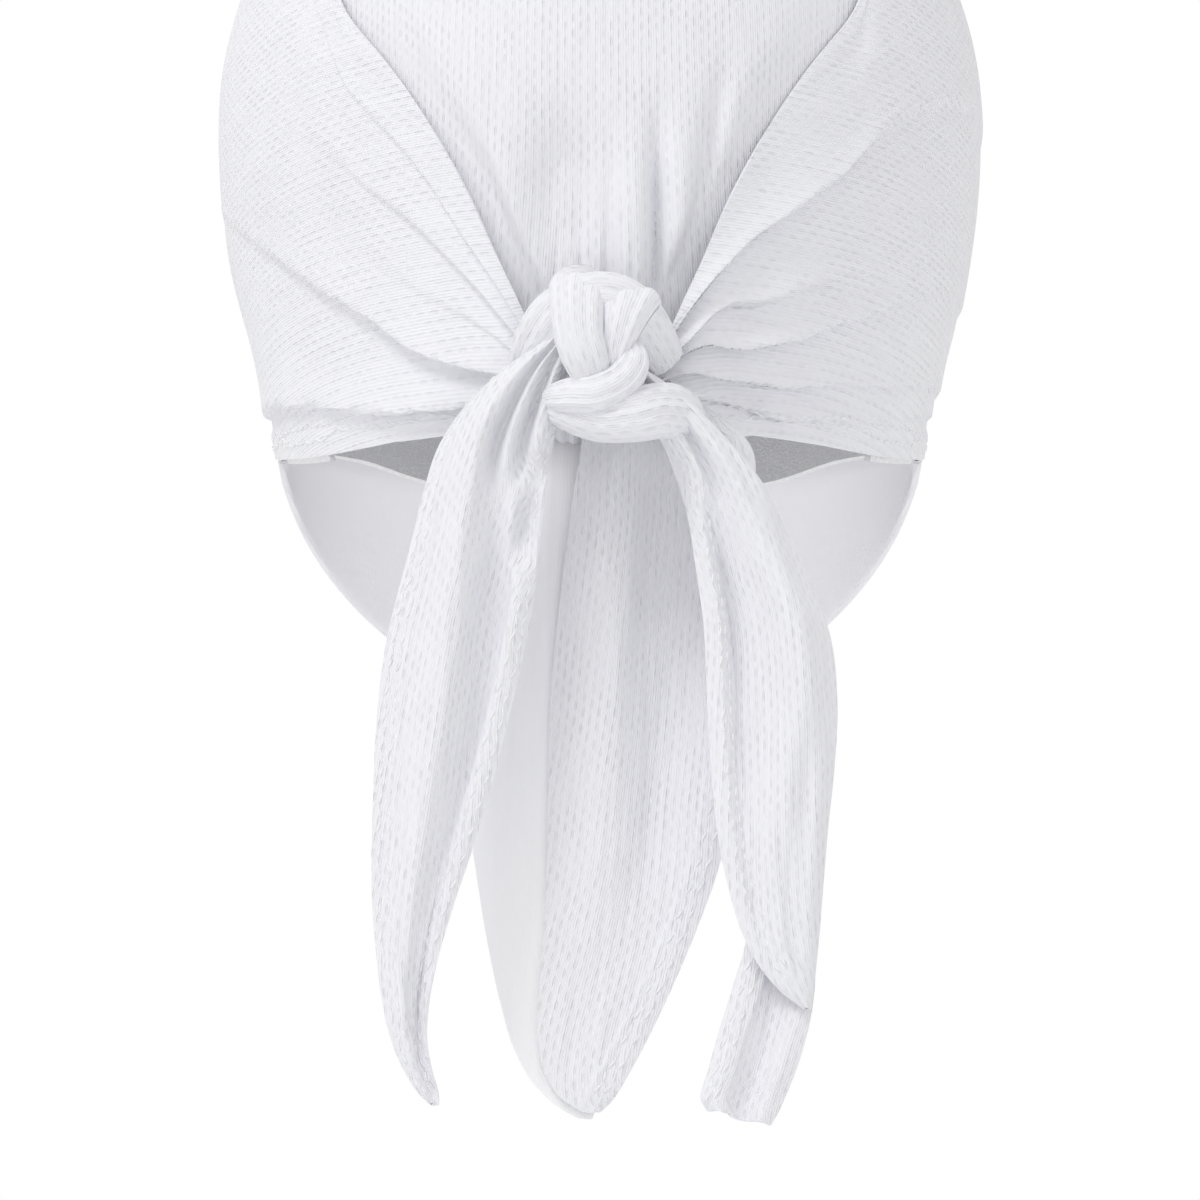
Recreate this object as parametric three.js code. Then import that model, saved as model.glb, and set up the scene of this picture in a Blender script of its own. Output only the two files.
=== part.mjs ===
// A tie-back sports bandana with a soft peak, as it sits on a head.
// +Z is up, the knot and its tails are at the back (-Y) and the peak is in front (+Y).
// The origin is the centre of the head opening, level with the hem above the ears.
// Sizes are in millimetres and angles in degrees.
import * as THREE from "three";
import { LoftGeometry } from "three/addons/geometries/LoftGeometry.js";

// The head that the cloth lies on: a dome above its widest level and a taper below it.
const HEAD_HALF_WIDTH = 84;
const HEAD_HALF_LENGTH = 91;
const HEAD_WIDEST_Z = 76;
const HEAD_DOME_HEIGHT = 84;
const HEAD_DOME_POWER = 2.35;
const HEAD_TAPER_DEPTH = 205;
const HEAD_TAPER_POWER = 1.5;

// Cloth layers, from the head outwards.
const SWEATBAND_THICKNESS = 1.6;
const CLOTH_THICKNESS = 1;
const LAYER_GAP = 0.7;

// The hem is low at the nape and high over the brow.
const HEM_REAR_DROP = 16.5;
const HEM_FRONT_RISE = 22;

// The crown panel runs from the brow over the top and under the knot. The wings lie over its edges.
const WING_EDGE_X = 57;
const SEAM_LAP = 8;
const WING_EDGE_TURNS_AT = 6;
const WING_EDGE_STOPS_SHORT = 4;
const CROWN_PANEL_END_DROP = 13;

const SWEATBAND_HEIGHT = 30;
const SWEATBAND_SHOWS_BELOW_HEM = 2;
const SWEATBAND_STARTS_AT = 60;

// The knot is one strand lying across the nape and one wrapped round it.
const KNOT_Z = -9;
const KNOT_CORE_HALF_LENGTH = 16.5;
const KNOT_CORE_HALF_HEIGHT = 11.6;
const KNOT_CORE_HALF_DEPTH = 7.4;
const KNOT_WRAP_WIDTH = 22;
const KNOT_WRAP_THICKNESS = 4.2;
const KNOT_WRAP_TOP_THICKNESS = 6.2;
const KNOT_WRAP_BEVEL_SHARE = 0.4;
const KNOT_GAP = 0.6;
const WING_END_LIFT = 6;
const WING_END_LIFT_SHARE = 0.16;
const WING_END_TOP_ABOVE_KNOT = 16;

// The peak: a stiff board between two covers, with a binding round its outer edge.
const PEAK_LENGTH = 70;
const PEAK_DROP = 34;
const PEAK_DROP_POWER = 1.2;
const PEAK_ARCH = 4;
const PEAK_END_WIDTH = 3;
const PEAK_ROOT_AZIMUTH = 102;
const PEAK_BOARD_THICKNESS = 2;
const PEAK_COVER_THICKNESS = 0.8;
const PEAK_LAYER_GAP = 0.5;
const PEAK_SEAM_GAP = 0.3;
const PEAK_BINDING_WIDTH = 1.6;
const PEAK_BINDING_OVERHANG = 0.4;
const PEAK_BINDING_EDGE_SHARE = 0.6;

// The tails hang from the knot. Each spine point is a share of the length, a centre x and a width.
const TAIL_THICKNESS = 5;
const CROWN_TAIL_THICKNESS = 3;
const TAIL_SECTION_POWER = 0.6;
const TIE_TAIL_TOP_DROP = 14;
const LEFT_TAIL_LENGTH = 148;
const LEFT_TAIL_SPINE = [
  [0, -20.5, 13],
  [0.19, -26.5, 27],
  [0.35, -31, 29],
  [0.58, -36, 23],
  [0.73, -39, 17],
  [0.87, -40.5, 10],
  [1, -36, 4],
];
const RIGHT_TAIL_LENGTH = 152;
const RIGHT_TAIL_SPINE = [
  [0, 20, 12],
  [0.19, 32, 22],
  [0.35, 36, 27],
  [0.55, 36.5, 25],
  [0.74, 38, 16],
  [0.87, 34, 20],
  [1, 31, 12],
];
const CROWN_TAIL_LENGTH = 146;
const CROWN_TAIL_SPINE = [
  [0, 0, 30],
  [0.1, 0, 62],
  [0.3, 0, 66],
  [0.62, -0.5, 54],
  [0.82, -2.5, 39],
  [0.95, -4, 21],
  [1, -2, 5],
];

// Facets along and across the pieces. The crown panel's lie closer together towards its edges.
const PANEL_STEPS = 36;
const PANEL_CROSS_STEPS = 12;
const CROWN_PANEL_EDGE_PHASE = 1.1;
const SWEATBAND_CROSS_STEPS = 3;
const PEAK_STEPS = 36;
const PEAK_DEPTH_STEPS = 6;
const TAIL_STEPS = 18;
const TAIL_SECTION_SIDES = 12;
const KNOT_CORE_SIDES = 16;
const KNOT_CORE_END_STEPS = 5;
const KNOT_WRAP_SIDES = 24;

// Bounds and steps of the searches on the head's surface.
const SEARCH_TILT = 1.4;
const SEARCH_REAR_AZIMUTH = 60;
const SEARCH_STEPS = 40;

const cloth = { color: 0xf4f3f8, roughness: 0.9, metalness: 0 };
const smoothCloth = { color: 0xf2f2f6, roughness: 0.85, metalness: 0 };
const terry = { color: 0xf0f0f2, roughness: 1, metalness: 0 };
const board = { color: 0xe8e8e8, roughness: 0.6, metalness: 0 };

const headCentre = new THREE.Vector3(0, 0, HEAD_WIDEST_Z);
const radians = THREE.MathUtils.degToRad;
const { lerp, clamp, smoothstep } = THREE.MathUtils;

// Each layer is the pair of distances from the head to its inner and outer face.
const sweatbandLayer = [0, SWEATBAND_THICKNESS];
const crownLayer = layerOver(sweatbandLayer);
const wingLayer = layerOver(crownLayer);

function layerOver(layer) {
  const inner = layer[1] + LAYER_GAP;
  return [inner, inner + CLOTH_THICKNESS];
}

// The point at a distance outside the head, in a direction from the head's centre.
function onHead(direction, offset) {
  const inDome = direction.z >= 0;
  const power = inDome ? HEAD_DOME_POWER : HEAD_TAPER_POWER;
  const height = (inDome ? HEAD_DOME_HEIGHT : HEAD_TAPER_DEPTH) + offset;
  const across = direction.x / (HEAD_HALF_WIDTH + offset);
  const along = direction.y / (HEAD_HALF_LENGTH + offset);
  const level = Math.hypot(across, along) ** power;
  const reach = (level + (Math.abs(direction.z) / height) ** power) ** (-1 / power);
  return direction.clone().multiplyScalar(reach).add(headCentre);
}

// The direction that meets the wings' layer at an azimuth, counted from the back, and a height below the
// head's widest level.
function directionAtHeight(azimuth, z) {
  const angle = radians(azimuth);
  const offset = wingLayer[0];
  const depth = (HEAD_WIDEST_Z - z) / (HEAD_TAPER_DEPTH + offset);
  const size = (1 - depth ** HEAD_TAPER_POWER) ** (1 / HEAD_TAPER_POWER);
  const x = Math.sin(angle);
  const y = -Math.cos(angle);
  const radius = size / Math.hypot(x / (HEAD_HALF_WIDTH + offset), y / (HEAD_HALF_LENGTH + offset));
  return new THREE.Vector3(x * radius, y * radius, z - HEAD_WIDEST_Z).normalize();
}

function hemHeight(azimuth) {
  const forward = -Math.cos(radians(azimuth));
  const reach = forward < 0 ? HEM_REAR_DROP : HEM_FRONT_RISE;
  return reach * Math.sin((Math.PI / 2) * forward);
}

function hemDirection(azimuth, above = 0) {
  return directionAtHeight(azimuth, hemHeight(azimuth) + above);
}

// The value between low and high at which an increasing function reaches a target.
function solve(increasing, target, low, high) {
  for (let i = 0; i < SEARCH_STEPS; i++) {
    const middle = (low + high) / 2;
    if (increasing(middle) < target) low = middle;
    else high = middle;
  }
  return (low + high) / 2;
}

// The direction of the head's surface at a distance x from the middle plane.
// The turn counts from straight back, over the top, to the front.
function directionAtX(x, turn) {
  const angle = radians(turn);
  const tilted = (tilt) =>
    new THREE.Vector3(
      Math.sin(tilt),
      -Math.cos(tilt) * Math.cos(angle),
      Math.cos(tilt) * Math.sin(angle),
    );
  return tilted(solve((tilt) => onHead(tilted(tilt), 0).x, x, -SEARCH_TILT, SEARCH_TILT));
}

function turnOf(point) {
  const turn = THREE.MathUtils.radToDeg(Math.atan2(point.z - HEAD_WIDEST_Z, -point.y));
  return turn < -90 ? turn + 360 : turn;
}

// The front hem's azimuth at a distance x from the middle plane, and the rear hem's.
const frontHemAzimuth = (x) => solve((a) => -onHead(hemDirection(a), 0).x, -x, 90, 180);
const rearHemAzimuth = (x) =>
  solve((a) => onHead(hemDirection(a), wingLayer[0]).x, x, 0, SEARCH_REAR_AZIMUTH);

// The knot's place follows from the layers that it lies on.
const knotWrapHalfDepth = KNOT_CORE_HALF_DEPTH + KNOT_GAP + KNOT_WRAP_THICKNESS;
const knotWrapHalfHeight = KNOT_CORE_HALF_HEIGHT + KNOT_GAP + KNOT_WRAP_TOP_THICKNESS;
const napeY = onHead(directionAtHeight(0, KNOT_Z + knotWrapHalfHeight / 2), crownLayer[1]).y;
const knotY = napeY - KNOT_GAP - knotWrapHalfDepth;
const wingEndX = KNOT_CORE_HALF_LENGTH + KNOT_GAP;
const knotTurn = turnOf(onHead(directionAtHeight(0, KNOT_Z + WING_END_TOP_ABOVE_KNOT), 0));
const panelEndZ = KNOT_Z - CROWN_PANEL_END_DROP;

// Half the width of the crown panel that shows between the wings.
function wingEdgeX(turn) {
  const share = clamp((turn - knotTurn) / (WING_EDGE_TURNS_AT - knotTurn), 0, 1);
  return lerp(wingEndX, WING_EDGE_X, share);
}

function named(name, geometry, look) {
  const mesh = new THREE.Mesh(geometry, new THREE.MeshStandardMaterial(look));
  mesh.name = name;
  return mesh;
}

// A closed sheet: place(u, v, face) gives its inner face at 0 and its outer face at 1, seen with u to the
// right and v up from outside.
function sheetGeometry(uSteps, vSteps, place) {
  const geometry = new THREE.BoxGeometry(1, 1, 1, uSteps, vSteps, 1);
  const position = geometry.getAttribute("position");
  for (let i = 0; i < position.count; i++) {
    const point = place(position.getX(i) + 0.5, position.getY(i) + 0.5, position.getZ(i) + 0.5);
    position.setXYZ(i, point.x, point.y, point.z);
  }
  return geometry;
}

function crownPanel() {
  const start = turnOf(onHead(directionAtHeight(0, panelEndZ), 0));
  const frontTurn = (x) => turnOf(onHead(hemDirection(frontHemAzimuth(Math.abs(x))), 0));
  const place = (u, v, face) => {
    const halfWidth = wingEdgeX(lerp(start, frontTurn(0), v)) + SEAM_LAP;
    const x = (halfWidth * Math.sin((2 * u - 1) * CROWN_PANEL_EDGE_PHASE)) / Math.sin(CROWN_PANEL_EDGE_PHASE);
    const turn = lerp(start, frontTurn(x), v);
    return onHead(directionAtX(x, turn), lerp(...crownLayer, face));
  };
  return named("crown_panel", sheetGeometry(PANEL_CROSS_STEPS, PANEL_STEPS, place), cloth);
}

// The right wing, from its end beside the knot round to the brow. The left one mirrors it.
function wingGeometry() {
  const hemStart = rearHemAzimuth(wingEndX);
  const hemEnd = frontHemAzimuth(WING_EDGE_X);
  const edgeEnd = turnOf(onHead(hemDirection(hemEnd), 0)) - WING_EDGE_STOPS_SHORT;
  const place = (u, v, face) => {
    const hem = hemDirection(lerp(hemStart, hemEnd, u));
    const turn = lerp(knotTurn, edgeEnd, u);
    const edge = directionAtX(wingEdgeX(turn), turn);
    const across = new THREE.Quaternion().setFromUnitVectors(hem, edge);
    const part = new THREE.Quaternion().slerp(across, v);
    const lift = WING_END_LIFT * (1 - smoothstep(u, 0, WING_END_LIFT_SHARE));
    const point = onHead(hem.applyQuaternion(part), lerp(...wingLayer, face) + lift);
    point.x = Math.max(point.x, wingEndX);
    return point;
  };
  return sheetGeometry(PANEL_STEPS, PANEL_CROSS_STEPS, place);
}

function wings() {
  const right = named("right_wing", wingGeometry(), cloth);
  const left = named("left_wing", wingGeometry(), cloth);
  left.scale.x = -1;
  return [left, right];
}

function sweatband() {
  const place = (u, v, face) => {
    const azimuth = lerp(SWEATBAND_STARTS_AT, 360 - SWEATBAND_STARTS_AT, u);
    const above = SWEATBAND_HEIGHT * v - SWEATBAND_SHOWS_BELOW_HEM;
    return onHead(hemDirection(azimuth, above), lerp(...sweatbandLayer, face));
  };
  return named("sweatband", sheetGeometry(PANEL_STEPS, SWEATBAND_CROSS_STEPS, place), terry);
}

// The peak's layers are stacked straight up, so a thickness square to its slope is taller than itself.
const peakRise = 1 / Math.cos(Math.atan2(PEAK_DROP, PEAK_LENGTH));
const peakCoverStart = PEAK_BOARD_THICKNESS / 2 + PEAK_LAYER_GAP;
const peakHalfStack = peakCoverStart + PEAK_COVER_THICKNESS;

// The peak's inner edge at the hem. The head widens upwards, so it stands clear at the top cover's height.
function peakInnerEdge(azimuth) {
  const above = peakHalfStack * peakRise;
  const point = onHead(hemDirection(azimuth, above), wingLayer[1] + PEAK_SEAM_GAP);
  point.z -= above;
  return point;
}

// The peak's middle surface: across runs from its left end round to its right end, and out runs from
// the hem to the outer edge.
const peakRoot = peakInnerEdge(PEAK_ROOT_AZIMUTH);
const browEdge = peakInnerEdge(180);
const peakReachX = peakRoot.x + PEAK_END_WIDTH;
const peakReachY = browEdge.y + PEAK_LENGTH - peakRoot.y;

function peakSurface(across, out) {
  const azimuth = lerp(360 - PEAK_ROOT_AZIMUTH, PEAK_ROOT_AZIMUTH, across);
  const inner = peakInnerEdge(azimuth);
  const round = Math.acos(clamp(inner.x / peakRoot.x, -1, 1));
  const outer = new THREE.Vector3(
    peakReachX * Math.cos(round),
    peakRoot.y + peakReachY * Math.sin(round),
    lerp(peakRoot.z, browEdge.z - PEAK_DROP, Math.sin(round) ** PEAK_DROP_POWER),
  );
  const point = inner.clone().lerp(outer, out);
  point.z += PEAK_ARCH * 4 * out * (1 - out) * Math.sin(round);
  return point;
}

function peakLayer(name, low, thickness, look) {
  const place = (u, v, face) => {
    const point = peakSurface(u, v);
    point.z += (low + thickness * face) * peakRise;
    return point;
  };
  return named(name, sheetGeometry(PEAK_STEPS, PEAK_DEPTH_STEPS, place), look);
}

function peakBinding() {
  const sections = [];
  for (let i = 0; i <= PEAK_STEPS; i++) {
    const across = i / PEAK_STEPS;
    const edge = peakSurface(across, 1);
    const out = new THREE.Vector3(edge.x / peakReachX ** 2, (edge.y - peakRoot.y) / peakReachY ** 2, 0);
    out.normalize();
    const near = PEAK_LAYER_GAP;
    const far = near + PEAK_BINDING_WIDTH;
    const tall = peakHalfStack + PEAK_BINDING_OVERHANG;
    const edgeTall = tall * PEAK_BINDING_EDGE_SHARE;
    const corners = [
      [near, -tall],
      [far, -edgeTall],
      [far, edgeTall],
      [near, tall],
    ];
    sections.push(
      corners.map(([o, rise]) => {
        const point = edge.clone().addScaledVector(out, o);
        point.z += rise * peakRise;
        return point;
      }),
    );
  }
  const geometry = new LoftGeometry(sections, { capStart: true, capEnd: true });
  return named("peak_edge_binding", geometry, smoothCloth);
}

function peak() {
  return [
    peakLayer("peak_board", -PEAK_BOARD_THICKNESS / 2, PEAK_BOARD_THICKNESS, board),
    peakLayer("peak_top_cover", peakCoverStart, PEAK_COVER_THICKNESS, smoothCloth),
    peakLayer("peak_under_cover", -peakHalfStack, PEAK_COVER_THICKNESS, smoothCloth),
    peakBinding(),
  ];
}

function knot() {
  const bar = 2 * (KNOT_CORE_HALF_LENGTH - KNOT_CORE_HALF_HEIGHT);
  const capsule = new THREE.CapsuleGeometry(KNOT_CORE_HALF_HEIGHT, bar, KNOT_CORE_END_STEPS, KNOT_CORE_SIDES, 2);
  const core = named("knot_cross_strand", capsule, cloth);
  core.rotation.z = Math.PI / 2;
  core.scale.z = KNOT_CORE_HALF_DEPTH / KNOT_CORE_HALF_HEIGHT;

  const holeRadius = KNOT_CORE_HALF_HEIGHT + KNOT_GAP;
  const half = KNOT_WRAP_WIDTH / 2;
  const bevel = KNOT_WRAP_THICKNESS * KNOT_WRAP_BEVEL_SHARE;
  const profile = [
    [holeRadius, -half + bevel],
    [knotWrapHalfHeight - bevel, -half],
    [knotWrapHalfHeight, -half + bevel],
    [knotWrapHalfHeight, half - bevel],
    [knotWrapHalfHeight - bevel, half],
    [holeRadius, half - bevel],
    [holeRadius, -half + bevel],
  ].map(([r, x]) => new THREE.Vector2(r, x));
  const wrap = named("knot_wrap_strand", new THREE.LatheGeometry(profile, KNOT_WRAP_SIDES), cloth);
  wrap.rotation.z = Math.PI / 2;
  wrap.scale.z = knotWrapHalfDepth / knotWrapHalfHeight;

  const group = new THREE.Group();
  group.rotation.x = Math.PI / 2;
  group.add(core, wrap);
  const placed = new THREE.Group();
  placed.position.set(0, knotY, KNOT_Z);
  placed.add(group);
  return placed;
}

// A hanging tail: a loft of flat rounded sections down its spine, with y0 the middle of its thickness.
function tail(name, spine, length, thickness, topZ, y0) {
  const points = spine.map(([share, x, width]) => new THREE.Vector3(x, width, topZ - share * length));
  const curve = new THREE.CatmullRomCurve3(points);
  const sections = curve.getPoints(TAIL_STEPS).map((station) => {
    const ring = [];
    for (let i = 0; i < TAIL_SECTION_SIDES; i++) {
      const angle = (2 * Math.PI * i) / TAIL_SECTION_SIDES;
      const x = station.x + (station.y / 2) * Math.cos(angle);
      const thin = Math.sign(Math.sin(angle)) * Math.abs(Math.sin(angle)) ** TAIL_SECTION_POWER;
      ring.push(new THREE.Vector3(x, y0 + (thickness / 2) * thin, station.z));
    }
    return ring.reverse();
  });
  return named(name, new LoftGeometry(sections, { capStart: true, capEnd: true }), cloth);
}

function tails() {
  const wingEndY = onHead(hemDirection(rearHemAzimuth(wingEndX)), wingLayer[1] + WING_END_LIFT).y;
  const tieY = Math.min(wingEndY, napeY - 2 * KNOT_WRAP_THICKNESS) - KNOT_GAP - TAIL_THICKNESS / 2;
  const tieTop = KNOT_Z - TIE_TAIL_TOP_DROP;
  const crownOffset = crownLayer[1] + LAYER_GAP + CROWN_TAIL_THICKNESS / 2;
  const crownY = onHead(directionAtHeight(0, panelEndZ), crownOffset).y;
  return [
    tail("left_tie_tail", LEFT_TAIL_SPINE, LEFT_TAIL_LENGTH, TAIL_THICKNESS, tieTop, tieY),
    tail("right_tie_tail", RIGHT_TAIL_SPINE, RIGHT_TAIL_LENGTH, TAIL_THICKNESS, tieTop, tieY),
    tail("crown_tail", CROWN_TAIL_SPINE, CROWN_TAIL_LENGTH, CROWN_TAIL_THICKNESS, panelEndZ, crownY),
  ];
}

const bandana = new THREE.Group();
bandana.add(crownPanel(), ...wings(), sweatband(), ...peak(), knot(), ...tails());
export default bandana;
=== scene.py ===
"""A white tie-back sports bandana with a soft peak, seen from behind and a little below."""
import math

import bpy
import numpy as np
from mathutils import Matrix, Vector


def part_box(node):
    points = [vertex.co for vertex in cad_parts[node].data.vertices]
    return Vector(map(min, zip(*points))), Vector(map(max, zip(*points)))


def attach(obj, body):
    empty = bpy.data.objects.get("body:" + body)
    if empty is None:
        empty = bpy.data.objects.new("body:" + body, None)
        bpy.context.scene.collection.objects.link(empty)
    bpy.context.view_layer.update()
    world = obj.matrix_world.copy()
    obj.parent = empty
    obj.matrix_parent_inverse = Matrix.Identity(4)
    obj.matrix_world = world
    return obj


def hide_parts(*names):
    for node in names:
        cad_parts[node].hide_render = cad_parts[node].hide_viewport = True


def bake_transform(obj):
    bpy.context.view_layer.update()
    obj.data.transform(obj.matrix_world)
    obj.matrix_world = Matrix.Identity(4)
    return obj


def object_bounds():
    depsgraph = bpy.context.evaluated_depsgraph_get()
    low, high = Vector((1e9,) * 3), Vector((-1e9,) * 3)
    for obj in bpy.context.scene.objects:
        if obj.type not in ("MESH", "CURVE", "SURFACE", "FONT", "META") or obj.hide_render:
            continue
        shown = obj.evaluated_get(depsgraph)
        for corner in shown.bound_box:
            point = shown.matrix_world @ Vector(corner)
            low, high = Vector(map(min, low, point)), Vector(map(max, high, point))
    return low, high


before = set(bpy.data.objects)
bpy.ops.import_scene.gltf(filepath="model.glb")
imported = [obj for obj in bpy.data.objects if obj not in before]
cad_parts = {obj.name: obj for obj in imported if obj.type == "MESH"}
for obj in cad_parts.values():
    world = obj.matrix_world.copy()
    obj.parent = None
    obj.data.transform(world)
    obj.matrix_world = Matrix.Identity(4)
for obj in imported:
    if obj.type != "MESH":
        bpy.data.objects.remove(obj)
cad_low, cad_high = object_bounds()

MM = 0.001

# The head under the cloth. Its level sizes come from the frame; its curves are these.
HEAD_WIDEST_Z = 76 * MM
HEM_OUT = 4 * MM
HEAD_DOME_POWER = 2.35
HEAD_TAPER_DEPTH = 205 * MM
HEAD_TAPER_POWER = 1.5

# How far each layer's outer face stands off the head.
SWEATBAND_OUT = 1.6 * MM
CROWN_OUT = 3.3 * MM
WING_OUT = 5.0 * MM
CLOTH = 0.8 * MM
HEM_EXTRA = 0.7 * MM

HEM_REAR_DROP = 16.5 * MM
HEM_FRONT_RISE = 22 * MM
WING_EDGE_X = 57 * MM
WING_EDGE_TURNS_AT = 6.0
WING_EDGE_SOFTNESS = 0.07
WING_END_INSET = 4.5 * MM
WING_TOP_ABOVE_KNOT = 16 * MM
SEAM_LAP = 8 * MM
HEM_WIDTH = 9 * MM

right_wing_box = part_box("right_wing")
crown_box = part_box("crown_panel")
half_width = right_wing_box[1].x - WING_OUT
half_length = crown_box[1].y - CROWN_OUT
dome_height = crown_box[1].z - CROWN_OUT - HEAD_WIDEST_Z
wrap_low, wrap_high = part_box("knot_wrap_strand")
knot = (Vector(wrap_low) + Vector(wrap_high)) / 2
wing_end_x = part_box("knot_cross_strand")[1].x - WING_END_INSET


def placed(name, data):
    """A new object in the scene."""
    made = bpy.data.objects.new(name, data)
    bpy.context.scene.collection.objects.link(made)
    return made


# ---- Finishes ----


# How many streaks of the knit there are to a metre.
STREAKS_ACROSS = 900
STREAKS_ALONG = 70


def operator(name):
    """A method that feeds a signal, and what stands beside it, to a maths node."""
    def apply(self, *others):
        return self.finish.node("ShaderNodeMath", {"operation": name}, (self, *others))
    return apply


class Signal:
    """A shader socket that can be used in sums."""

    def __init__(self, finish, socket):
        self.finish = finish
        self.socket = socket

    __add__ = __radd__ = operator("ADD")
    __sub__ = operator("SUBTRACT")
    __mul__ = operator("MULTIPLY")
    __truediv__ = operator("DIVIDE")
    __pow__ = operator("POWER")
    __mod__ = operator("FLOORED_MODULO")
    floor = operator("FLOOR")
    cosine = operator("COSINE")
    root = operator("SQRT")

    def __rsub__(self, other):
        return self.finish.node("ShaderNodeMath", {"operation": "SUBTRACT"}, (other, self))

    def waves(self, pitch):
        return (self * (2 * math.pi / pitch)).cosine()

    def step(self, low, high):
        """0 below low, 1 above high and smooth between."""
        values = {"Value": self, "From Min": low, "From Max": high}
        return self.finish.node("ShaderNodeMapRange", {"interpolation_type": "SMOOTHSTEP"}, values)


class Finish:
    """A material built from its principled shader outwards."""

    def __init__(self, name):
        self.material = bpy.data.materials.new(name)
        self.material.use_nodes = True
        self.tree = self.material.node_tree
        self.shader = next(n for n in self.tree.nodes if n.type == "BSDF_PRINCIPLED")

    def node(self, kind, settings=None, values=(), output=0):
        made = self.tree.nodes.new(kind)
        for key, value in (settings or {}).items():
            setattr(made, key, value)
        pairs = values.items() if isinstance(values, dict) else enumerate(values)
        for key, value in pairs:
            self.feed(made.inputs[key], value)
        return Signal(self, made.outputs[output])

    def feed(self, socket, value):
        if isinstance(value, Signal):
            self.tree.links.new(value.socket, socket)
        else:
            socket.default_value = value

    def set(self, **values):
        for key, value in values.items():
            self.feed(self.shader.inputs[key.replace("_", " ")], value)

    def coat(self, tone, light, dark, **values):
        """The colour, from light where the tone is 0 to dark where it is 1, and the shader's own values."""
        colours = {0: tone, 6: (*light, 1), 7: (*dark, 1)}
        blend = self.node("ShaderNodeMix", {"data_type": "RGBA"}, colours, output=2)
        self.set(Base_Color=blend, **values)

    def uv(self):
        place = self.node("ShaderNodeUVMap", {"uv_map": "cloth"})
        split = self.tree.nodes.new("ShaderNodeSeparateXYZ")
        self.tree.links.new(place.socket, split.inputs[0])
        return Signal(self, split.outputs[0]), Signal(self, split.outputs[1])

    def position(self):
        return self.node("ShaderNodeTexCoord", output=3)

    def noise(self, scale, detail=2.0, place=None):
        values = {"Vector": place or self.position(), "Scale": scale, "Detail": detail}
        return self.node("ShaderNodeTexNoise", values=values)

    def streaks(self, across, along):
        """Noise drawn out along the wales."""
        place = (across * STREAKS_ACROSS, along * STREAKS_ALONG)
        return self.noise(1.0, place=self.node("ShaderNodeCombineXYZ", values=place))

    def bump(self, height, distance, strength=1.0):
        values = {"Height": height, "Distance": distance, "Strength": strength}
        self.set(Normal=self.node("ShaderNodeBump", values=values))


# How all the knits take the light.
KNIT_GLOSS = {"Specular_IOR_Level": 0.25, "Sheen_Roughness": 0.5}
WALE_PITCH = 1.75 * MM
EYELET_PITCH = 3.6 * MM
EYELET_NARROWNESS = 4.4
EYELET_SHORTNESS = 2.5
RIBS_TO_A_WALE = 3
JERSEY_WALE_PITCH = 0.55 * MM
JERSEY_COURSE_PITCH = 0.7 * MM
REVERSE_RIB_PITCH = 0.8 * MM


def mesh_knit(name, eyelet_shade_tone):
    """Knitted mesh: narrow upright eyelets in staggered columns, with a fine rib between them. The eyelets
    are painted darker, as shade in their holes.
    """
    finish = Finish(name)
    across, along = finish.uv()
    column = across / WALE_PITCH
    stagger = (column.floor() % 2) * 0.5
    beside = column % 1 - 0.5
    above = (along / EYELET_PITCH + stagger) % 1 - 0.5
    reach = ((beside * EYELET_NARROWNESS) ** 2 + (above * EYELET_SHORTNESS) ** 2).root()
    eyelet = 1 - reach.step(0.35, 1.0)
    rib = across.waves(WALE_PITCH / RIBS_TO_A_WALE)
    fuzz = finish.noise(2600)
    soil = finish.noise(45, 3)
    eyelet = eyelet * (finish.noise(160).step(0.3, 0.7) * 0.7 + 0.3)
    streak = finish.streaks(across, along)
    # The tone rises at the eyelets as painted shade in the holes; the noise terms are the cloth's own
    # random tone.
    tone = eyelet * eyelet_shade_tone + soil * 0.08 + streak.step(0.35, 0.7) * 0.09
    roughness = 0.86 + eyelet * 0.1
    # The hollow colour is painted shade, seen in the eyelet holes.
    white, hollow = (0.9, 0.9, 0.935), (0.64, 0.64, 0.70)
    finish.coat(tone, white, hollow, Roughness=roughness, Sheen_Weight=0.25, **KNIT_GLOSS)
    finish.bump(rib * 0.12 + fuzz * 0.2 - eyelet * 0.45 - streak * 0.7, 0.35 * MM, 0.9)
    return finish.material


def smooth_knit():
    """Fine smooth jersey over the peak."""
    finish = Finish("smooth_knit")
    across, along = finish.uv()
    wale = across.waves(JERSEY_WALE_PITCH)
    course = along.waves(JERSEY_COURSE_PITCH)
    grain = finish.noise(2200)
    tone = finish.noise(30, 3) * 0.25 + grain * 0.12
    light, dark = (0.91, 0.90, 0.94), (0.82, 0.82, 0.86)
    finish.coat(tone, light, dark, Roughness=0.82, Sheen_Weight=0.2, **KNIT_GLOSS)
    finish.bump(wale * 0.3 + course * 0.2 + grain * 0.7, 0.06 * MM, 0.7)
    return finish.material


def terry_knit():
    """Short loops of absorbent terry, with painted shade darkening the cloth between the loops."""
    finish = Finish("terry_knit")
    loops = finish.noise(1500, 1.0)
    pile = loops.step(0.35, 0.7)
    light, dark = (0.94, 0.94, 0.95), (0.86, 0.86, 0.88)
    # Darker where there is no loop: painted shade between the loops.
    finish.coat(1 - pile, light, dark, Roughness=0.95, Specular_IOR_Level=0.2, Sheen_Weight=0.3)
    finish.bump(pile, 0.3 * MM, 0.5)
    return finish.material


def sewing_thread():
    """Twisted white thread, a little glossier than the cloth."""
    finish = Finish("sewing_thread")
    twist = finish.noise(3500, 1.0)
    light, dark = (0.92, 0.92, 0.94), (0.76, 0.76, 0.8)
    finish.coat(twist * 0.4, light, dark, Roughness=0.5, Specular_IOR_Level=0.4)
    finish.bump(twist, 0.05 * MM, 0.5)
    return finish.material


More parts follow.
